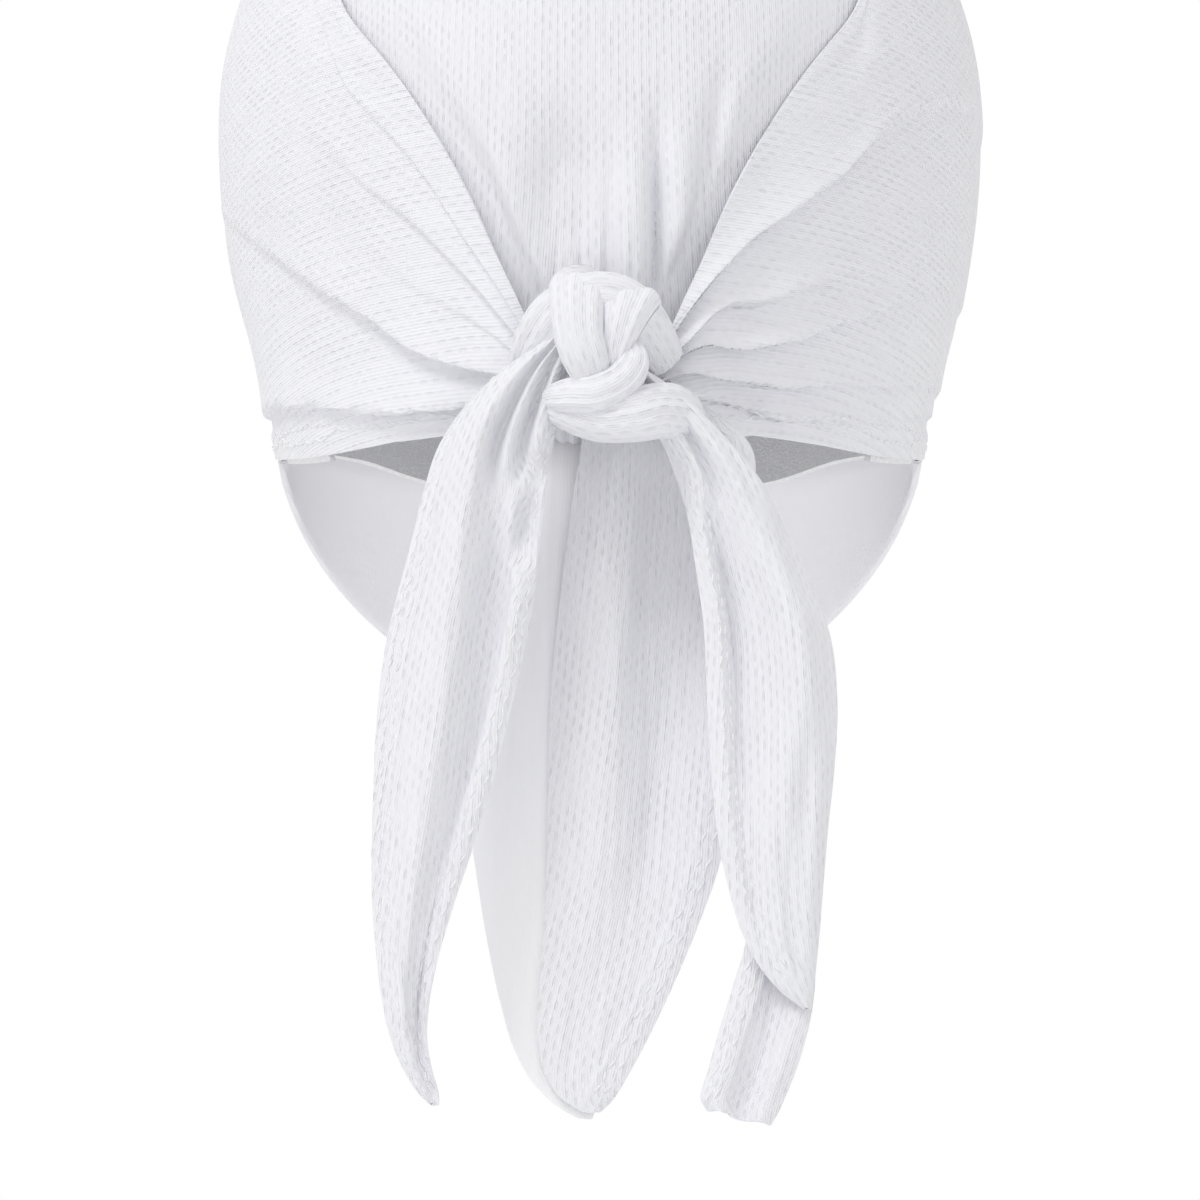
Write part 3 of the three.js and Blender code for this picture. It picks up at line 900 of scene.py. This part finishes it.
# Each tail: its edges as height, left x and right x, then places across it, then its folds: for a few
# heights, how far the cloth comes out towards the viewer at each place. Heights and depths in millimetres.
LEFT_TAIL = ([
    (-3, -10, -5), (-7, -14.5, -6), (-11, -20.5, -7), (-16, -26, -8.2), (-27, -33.9, -10.5),
    (-38, -37.4, -11.6), (-50, -40.2, -12.8), (-72, -45.3, -16), (-94, -47.4, -20.7), (-107, -47.7, -24),
    (-118, -47.9, -27.2), (-130, -47.5, -31), (-140, -46.6, -33.6), (-150, -45.2, -35.6),
    (-158, -43.4, -36.2), (-165, -40.6, -35.2), (-170, -37.4, -33.6), (-172, -35.4, -33.4),
], (0, 0.12, 0.26, 0.4, 0.52, 0.64, 0.76, 0.88, 1), {
    -3: (1, 4, 6, 7, 7, 7, 7, 6, 3), -14: (0, 4, 7, 8.5, 5, 8.5, 5, 8, 2),
    -27: (-1, 3, 7, 7.5, 2, 7, 2, 7.5, 2), -45: (-1, 1.5, 5, 7.5, 4, 1.5, 4, 0, 4),
    -62: (-1, 0.5, 3.5, 6.5, 4.5, -1.5, -1, 3.5, 1.5), -85: (-0.5, 0.5, 3, 5.5, 5.5, 1, -2.5, 1.5, 0.5),
    -110: (0, 0.5, 2.5, 4.5, 4.5, 1.5, -1, 1, 0), -135: (0, 0.5, 2, 3.5, 3.5, 1.5, -0.5, 0.5, 0),
    -155: (0.5, 1, 2, 3, 2, -0.5, -1.5, -1, 0), -172: (0, 0.6, 1.2, 1.2, 0.8, 0.3, 0, 0, 0),
})
RIGHT_TAIL = ([
    (-9, 4, 7), (-12, 5, 11), (-16, 7, 17), (-20, 10, 21.5), (-27, 14, 28), (-36, 17.2, 35),
    (-45, 19.4, 39.2), (-54, 20.6, 43), (-68, 22.3, 48.6), (-85, 23, 50.4), (-99, 23.6, 49.6),
    (-113, 24.8, 48), (-126, 27.2, 46.8), (-137, 30.6, 45.8), (-144, 34.4, 45), (-149, 38.6, 44.4),
    (-152, 42.4, 44),
], (0, 0.1, 0.22, 0.34, 0.48, 0.62, 0.78, 0.9, 1), {
    -9: (0, 5, 7, 8, 8, 7, 5, 3, 1), -20: (0, 4, 7, 6, 8.5, 7, 7, 4, 1),
    -33: (0, 3, 6, 3, 5.5, 7.5, 5, 4.5, 0), -50: (1.5, 3.5, 0, 1.5, 4.5, 6.5, 5.5, 2, -1),
    -68: (1.5, 3, -1.5, 0.5, 3, 6.5, 6.5, 2, -1.5), -85: (1, 2.5, -1, 0, 2, 5.5, 6, 2, -1.5),
    -105: (1, 2, 0, 0.5, 3.5, 5, 3, 2.5, -1), -125: (0.5, 1.5, 0.5, 1.5, 4, 3, 3, 2.5, 0),
    -152: (0.5, 1, 1.5, 2, 2, 2, 1.5, 1, 0.5),
})
RIGHT_TURNED = ([
    (-130, 31, 44), (-137, 30.6, 45), (-145, 28.4, 45), (-155, 25.4, 43.6), (-164, 23, 41),
    (-170, 21.6, 38.6), (-174, 21.4, 36.8), (-176.5, 22.8, 35.4),
], (0, 0.18, 0.36, 0.55, 0.8, 1), {
    -130: (-5, -4.5, -5, -4.5, -4, -4), -150: (-2.5, -1.5, -2.5, -4, -1, -1.5),
    -165: (-1.5, 0.5, -1, -3, 0.5, -1), -176.5: (-1.5, 1, -0.5, -2, 1.2, 0),
})
CROWN_TAIL = ([
    (-12, -5, 22), (-20, -4, 31.5), (-32, -5.6, 33.6), (-53, -8.2, 33.2), (-80, -10.7, 31.6),
    (-100, -11.2, 28.6), (-116, -11.4, 25.4), (-132, -12, 19.8), (-146, -13, 13.8), (-156, -13, 9),
    (-163, -11, 5.2), (-168, -7, 2), (-170, -3.6, 0),
], (0, 0.1, 0.22, 0.34, 0.44, 0.56, 0.68, 0.8, 0.9, 1), {
    -12: (3, 5, 5, 2, -1, -3, -2, 0, 1, -1), -30: (2.5, 5, 5.5, 2, -3, -4.5, -3, 0, 1.5, -1),
    -55: (2, 4.5, 5, 3, -2.5, -4.5, -3.5, -1, 1, -1), -80: (1.5, 3.5, 4.5, 4, 0, -3.5, -3, -1, 0.5, -1),
    -105: (1.2, 2.5, 3.5, 3.8, 2, -1.5, -1.5, 0, 0.5, -0.5),
    -130: (1, 1.8, 2.4, 2.4, 1.6, 0.5, 0.2, 0.4, 0.6, 0),
    -155: (0.6, 1, 1.2, 0.8, 1, 1.4, 1, 0.6, 0.6, 0),
    -170: (0.4, 0.5, 0.6, 0.6, 0.6, 0.6, 0.5, 0.4, 0.3, 0),
})
CROWN_BACK = ([
    (-14, -20, 4), (-22, -32, 4), (-32, -33.6, 4), (-60, -32.8, 0), (-90, -30.2, -4), (-116, -26.6, -5),
    (-132, -24, -5), (-146, -21, -5), (-156, -18, -4), (-164, -13.4, -2), (-169, -8, -1),
    (-171, -4.4, -1.6),
], (0, 0.2, 0.4, 0.6, 0.8, 1), {
    -14: (-6, -4, -2.5, -1.5, -1, -1), -60: (-6.5, -3, -0.8, 0.8, 1.2, 0.5),
    -100: (-5.5, -2.2, -0.2, 1.0, 1.2, 0.5), -140: (-3, -1.4, -0.1, 0.5, 0.4, -0.2),
    -171: (-0.5, -0.3, -0.2, -0.2, -0.3, -0.4),
})

WRINKLE = 0.14
BACK_WRINKLE = 0.1
BACK_GAP = 1 * MM
SLANT_RUN = 12


def tail_surface(tail, y, rows, columns, wrinkle=WRINKLE, slant=0.0):
    """A hanging sheet seen from behind: rows run down it, columns from its left edge to its right.

    slant lifts the left end of its lower edge, in millimetres.
    """
    edges, places, folds = tail
    heights, left, right = np.array(edges, float).T
    z = np.linspace(heights[0], heights[-1], rows)
    t = np.linspace(0, 1, columns)
    down = -z
    left_x = spline(down, -heights, left)[:, None]
    right_x = spline(down, -heights, right)[:, None]
    levels = sorted(folds, reverse=True)
    shapes = np.array([spline(t, places, folds[level]) for level in levels])
    depth = np.array([spline(down, [-level for level in levels], shape) for shape in shapes.T]).T
    x = mix(left_x, right_x, t[None, :])
    fade = np.sin(t * math.pi)[None, :]
    down = down[:, None]
    lines = np.sin(x * 1.9 + down * 0.06 + 2 * np.sin(down * 0.045)) * np.sin(x * 0.53 + down * 0.031)
    buckle = np.sin(down * 0.13 + x * 0.21) * np.sin(down * 0.05 + 1)
    depth = depth + fade * (wrinkle * lines + wrinkle * buckle)
    lift = slant * (1 - t[None, :]) * ease(down, down[-1] - SLANT_RUN, down[-1])
    return np.stack([x, y / MM - depth, z[:, None] + lift + 0 * x], -1) * MM


# A hem is sewn only where the cloth is at least this many times as wide as the stitches' inset.
ROOM_FOR_STITCHES = 2.4


def seam(outer, normals, distance, from_left):
    """Points and normals along a line at a distance from a tail's left or right edge."""
    run = run_down(outer, 1)
    if not from_left:
        run = run[:, -1:] - run
    rows = np.arange(3, outer.shape[0] - 3)
    rows = rows[run[rows].max(1) > distance * ROOM_FOR_STITCHES]
    column = np.abs(run[rows] - distance).argmin(1)
    return outer[rows, column], normals[rows, column]


TAIL_HEM_WIDTH = 7 * MM
TAIL_HEM_STARTS = (5 * MM, 16 * MM)
TAIL_STITCH_INSETS = (1.2 * MM, 3.4 * MM)


def swing(made):
    """Bakes the cloth's placement into its mesh."""
    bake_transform(made)


def hemmed(outer, body, hems, hem_width=TAIL_HEM_WIDTH):
    """Turns hems on a tail's edges and sews them."""
    run = run_down(outer, 1)
    from_edge = {"left": run, "right": run[:, -1:] - run}
    for edge in hems:
        outer = raised_hem(outer, from_edge[edge], 1, hem_width, ease(run[:, -1:], *TAIL_HEM_STARTS))
    normals = grid_normals(outer)
    for edge in hems:
        for inset in TAIL_STITCH_INSETS:
            stitch_paths[body].append(seam(outer, normals, hem_width - inset, edge == "left"))
    return outer


def tail_cloth(name, body, parts, material, *nodes):
    made = joined(name, [shell(outer, CLOTH, strip_uv(outer)) for outer in parts], material)
    if nodes:
        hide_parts(*nodes)
    swing(made)


def middle_y(node):
    low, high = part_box(node)
    return (low.y + high.y) / 2


def tails():
    tie_y, crown_y = middle_y("left_tie_tail"), middle_y("crown_tail")
    left = tail_surface(LEFT_TAIL, tie_y, 220, 90)
    left = hemmed(left, "left_tie", ("left", "right"), 5 * MM)
    tail_cloth("left_tie_cloth", "left_tie", [left], KNIT, "left_tie_tail")
    right = tail_surface(RIGHT_TAIL, tie_y, 200, 90)
    right = hemmed(right, "right_tie", ("left",))
    turned = tail_surface(RIGHT_TURNED, tie_y, 70, 50, slant=3.5)
    turned = hemmed(turned, "right_tie", ("left",), 5.5 * MM)
    tail_cloth("right_tie_cloth", "right_tie", [right, turned], KNIT, "right_tie_tail")
    front = tail_surface(CROWN_TAIL, crown_y, 220, 110)
    front = hemmed(front, "crown_tail", ("right",), 6 * MM)
    tail_cloth("crown_tail_cloth", "crown_tail", [front], KNIT, "crown_tail")
    back = tail_surface(CROWN_BACK, crown_y + BACK_GAP, 160, 60, BACK_WRINKLE)
    tail_cloth("crown_tail_fold", "crown_tail", [back], PLAIN)


# ---- Knot ----


# The knot's bundles of cloth, in millimetres: the path from the knot's middle, with its depth towards the
# viewer as y, then the widths and the thicknesses along it and the number of pleats. One strand lies across
# the nape, gathered. The other comes over it from the top and loops under it.
CROSS_BUNDLES = [
    ([(-16.5, -6, 1), (-13.5, -1, 4.5), (-9, 4, 8.5), (-2, 7, 11), (4, 6.5, 10.5), (8.5, 3.5, 8),
      (12, -0.5, 5), (14.5, -6, 2.5)], [8, 11, 13, 13, 13, 12, 10, 8], [5, 7, 9, 10, 10, 8, 6, 5], 4),
    ([(-12, 0, -9), (-7, 5, -13), (0, 8.5, -16.3), (7, 9, -15.5), (12, 6.5, -13.5), (17, 2, -12),
      (21, -3, -11)], [6, 8, 9, 11, 12, 12, 8], [5, 7, 8, 9, 9, 7, 4], 4),
]
WRAP_BUNDLES = [
    ([(-4, -2, 15), (-4.5, 6, 14.5), (-4.8, 11, 8), (-4.4, 12.5, 1), (-2.8, 12.2, -4.5), (-0.8, 8, -9.5)],
     [13, 13, 11.5, 10.5, 9.5, 6], [6, 7, 8, 8.5, 8, 5], 3),
    ([(7, -2, 14), (6.5, 6, 12.5), (5, 9.5, 6.5), (3.5, 10, 0), (2.4, 9, -5), (1.4, 5, -9)],
     [13, 13, 10, 7, 5, 3], [6, 7, 8, 7, 6, 4], 3),
    ([(-10, 4, -10), (-6, 9, -11), (-1, 11.5, -11.5), (4, 11.5, -9), (7, 10, -4.5), (6.6, 7, 0), (4, 2, 2)],
     [6, 8, 8.5, 8, 7, 5, 3], [6, 7, 8, 7.5, 7, 6, 4], 3),
]
BUNDLE_RINGS = 90
BUNDLE_SIDES = 56
PLEAT_RIDGE = 0.06
PLEAT_TWIST = 2.0
BUNDLE_SIDE_POWER = 0.8
BUNDLE_FACE_POWER = 0.75


def bundle(path, widths, thicknesses, pleats):
    """A closed, soft, flat tube of pleated cloth along a path."""
    path = np.array(path, float)
    along = np.linspace(0, 1, BUNDLE_RINGS)
    stations = np.linspace(0, 1, len(path))
    line = np.stack([spline(along, stations, path[:, k]) for k in range(3)], -1)
    wide = spline(along, stations, widths)[:, None]
    thick = spline(along, stations, thicknesses)[:, None]
    tangent = unit(np.gradient(line, axis=0))
    side = unit(np.cross(tangent, [0.0, 1.0, 0.0]))
    face = np.cross(side, tangent)
    angle = np.linspace(0, 2 * math.pi, BUNDLE_SIDES, endpoint=False)[None, :]
    c, s = np.cos(angle), np.sin(angle)
    ridged = 1 + PLEAT_RIDGE * np.cos(c * math.pi * pleats + PLEAT_TWIST * along[:, None])
    x = wide / 2 * np.sign(c) * np.abs(c) ** BUNDLE_SIDE_POWER
    y = thick / 2 * np.sign(s) * np.abs(s) ** BUNDLE_FACE_POWER * ridged
    points = line[:, None] + side[:, None] * x[..., None] + face[:, None] * y[..., None]
    points = np.stack([points[..., 0], -points[..., 1], points[..., 2]], -1) * MM + np.array(knot)
    return tube(points[:, ::-1])


def knot_pieces():
    for piece, node, bundles in (
        ("knot_cross_cloth", "knot_cross_strand", CROSS_BUNDLES),
        ("knot_wrap_cloth", "knot_wrap_strand", WRAP_BUNDLES),
    ):
        made = joined(piece, [bundle(*values) for values in bundles], KNIT)
        keep(made, "cap", node)


# ---- Stitches ----

STITCH_PITCH = 3.0 * MM
STITCH_LENGTH = 2.3 * MM
STITCH_THICKNESS = 0.5 * MM
STITCH_LEAN = 0.28
STITCH_RISE = 0.15


def stitch_tree():
    """Lays one small thread on each point of the mesh it is given, along the point's own direction."""
    tree = bpy.data.node_groups.new("stitches", "GeometryNodeTree")
    face = tree.interface
    face.new_socket("Geometry", in_out="INPUT", socket_type="NodeSocketGeometry")
    for name, value in (("Stitch length", STITCH_LENGTH), ("Thread thickness", STITCH_THICKNESS)):
        socket = face.new_socket(name, in_out="INPUT", socket_type="NodeSocketFloat")
        socket.default_value = value
    face.new_socket("Geometry", in_out="OUTPUT", socket_type="NodeSocketGeometry")
    nodes = tree.nodes

    def link(start, output, end, given):
        tree.links.new(start.outputs[output], end.inputs[given])

    given = nodes.new("NodeGroupInput")
    thread = nodes.new("GeometryNodeMeshUVSphere")
    for name, value in (("Segments", 8), ("Rings", 6), ("Radius", 0.5)):
        thread.inputs[name].default_value = value
    size = nodes.new("ShaderNodeCombineXYZ")
    link(given, "Thread thickness", size, 0)
    link(given, "Thread thickness", size, 1)
    link(given, "Stitch length", size, 2)
    shape = nodes.new("GeometryNodeTransform")
    link(thread, "Mesh", shape, "Geometry")
    link(size, 0, shape, "Scale")
    heading = nodes.new("GeometryNodeInputNamedAttribute")
    heading.data_type = "FLOAT_VECTOR"
    heading.inputs["Name"].default_value = "heading"
    turn = nodes.new("FunctionNodeAlignRotationToVector")
    turn.axis = "Z"
    link(heading, "Attribute", turn, "Vector")
    place = nodes.new("GeometryNodeInstanceOnPoints")
    link(given, "Geometry", place, "Points")
    link(shape, "Geometry", place, "Instance")
    link(turn, "Rotation", place, "Rotation")
    real = nodes.new("GeometryNodeRealizeInstances")
    link(place, "Instances", real, "Geometry")
    paint = nodes.new("GeometryNodeSetMaterial")
    paint.inputs["Material"].default_value = THREAD
    link(real, "Geometry", paint, "Geometry")
    link(paint, "Geometry", nodes.new("NodeGroupOutput"), 0)
    return tree


def stitch_points(points, normals):
    """Even points along a seam, each with the way its thread lies: a chain with a slight zigzag."""
    run = np.concatenate([[0], np.cumsum(np.linalg.norm(np.diff(points, axis=0), axis=-1))])
    at = np.arange(STITCH_PITCH / 2, run[-1], STITCH_PITCH)
    place = np.stack([np.interp(at, run, points[:, k]) for k in range(3)], -1)
    normal = unit(np.stack([np.interp(at, run, normals[:, k]) for k in range(3)], -1))
    along = unit(np.gradient(place, axis=0))
    side = np.cross(normal, along)
    lean = np.where(np.arange(len(at)) % 2 == 0, STITCH_LEAN, -STITCH_LEAN)[:, None]
    return place + normal * STITCH_THICKNESS * STITCH_RISE, unit(along + side * lean)


def stitches():
    tree = stitch_tree()
    for body, paths in stitch_paths.items():
        places, headings = zip(*[stitch_points(*path) for path in paths])
        mesh = bpy.data.meshes.new(body + "_seams")
        mesh.from_pydata([tuple(p) for p in np.concatenate(places)], [], [])
        attribute = mesh.attributes.new("heading", "FLOAT_VECTOR", "POINT")
        attribute.data.foreach_set("vector", np.concatenate(headings).astype(np.float32).ravel())
        seams = placed(body + "_seams", mesh)
        seams.modifiers.new("stitches", "NODES").node_group = tree
        graph = bpy.context.evaluated_depsgraph_get()
        sewn = bpy.data.meshes.new_from_object(seams.evaluated_get(graph), depsgraph=graph)
        bpy.data.objects.remove(seams)
        sewn.shade_smooth()
        made = placed(body + "_stitches", sewn)
        if body == "cap":
            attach(made, body)
        else:
            swing(made)


# ---- Stage ----

CAMERA_DISTANCE = 1.3
CAMERA_BELOW = 19.0
CAMERA_AIM = 17.6
CAMERA_LENS = 168
ROOM_LIGHT = 0.77
FLOOR_BELOW = 0.45
FLOOR_HALF = 4.0
# Each soft light: its place, its width and its power.
LIGHTS = {
    "key": ((-0.9, -1.2, 1.5), 0.8, 13),
    "under": ((0.1, -0.75, -0.85), 0.8, 9),
}


def stage():
    mesh = bpy.data.meshes.new("floor")
    signs = ((-1, -1), (1, -1), (1, 1), (-1, 1))
    corners = [(x * FLOOR_HALF, y * FLOOR_HALF, cad_low.z - FLOOR_BELOW) for x, y in signs]
    mesh.from_pydata(corners, [], [(0, 1, 2, 3)])
    floor = placed("floor", mesh)
    pale = Finish("floor_pale")
    pale.set(Base_Color=(0.92, 0.92, 0.92, 1), Roughness=0.9)
    mesh.materials.append(pale.material)

    world = bpy.data.worlds.new("studio")
    world.use_nodes = True
    bpy.context.scene.world = world
    tree = world.node_tree
    background = tree.nodes["Background"]
    place = tree.nodes.new("ShaderNodeTexCoord")
    split = tree.nodes.new("ShaderNodeSeparateXYZ")
    tree.links.new(place.outputs["Generated"], split.inputs[0])
    shade = tree.nodes.new("ShaderNodeMapRange")
    shade.interpolation_type = "SMOOTHSTEP"
    tree.links.new(split.outputs[1], shade.inputs["Value"])
    levels = {"From Min": -0.1, "From Max": 0.6, "To Min": ROOM_LIGHT, "To Max": 1.0}
    for name, value in levels.items():
        shade.inputs[name].default_value = value
    background.inputs[0].default_value = (1, 1, 1, 1)
    tree.links.new(shade.outputs[0], background.inputs[1])

    for name, values in LIGHTS.items():
        soft_light(name, *values)

    lens = bpy.data.cameras.new("camera")
    lens.lens = CAMERA_LENS
    camera = placed("camera", lens)
    below, aim = math.radians(CAMERA_BELOW), math.radians(CAMERA_AIM)
    camera.location = Vector((0, -math.cos(below), -math.sin(below))) * CAMERA_DISTANCE
    camera.rotation_euler = (math.pi / 2 + aim, 0, 0)
    bpy.context.scene.camera = camera
    bpy.context.scene.view_settings.view_transform = "Standard"


def soft_light(name, place, size, power):
    light = bpy.data.lights.new(name, "AREA")
    light.shape = "DISK"
    light.size = size
    light.energy = power
    lamp = placed(name, light)
    lamp.location = place
    lamp.rotation_euler = (-Vector(place)).to_track_quat("-Z", "Y").to_euler()


# ---- Assembly ----

crown_panel()
wing("left_wing", -1, LEFT_FOLDS)
wing("right_wing", 1, RIGHT_FOLDS)
sweatband()
peak()
knot_pieces()
tails()
stitches()
stage()
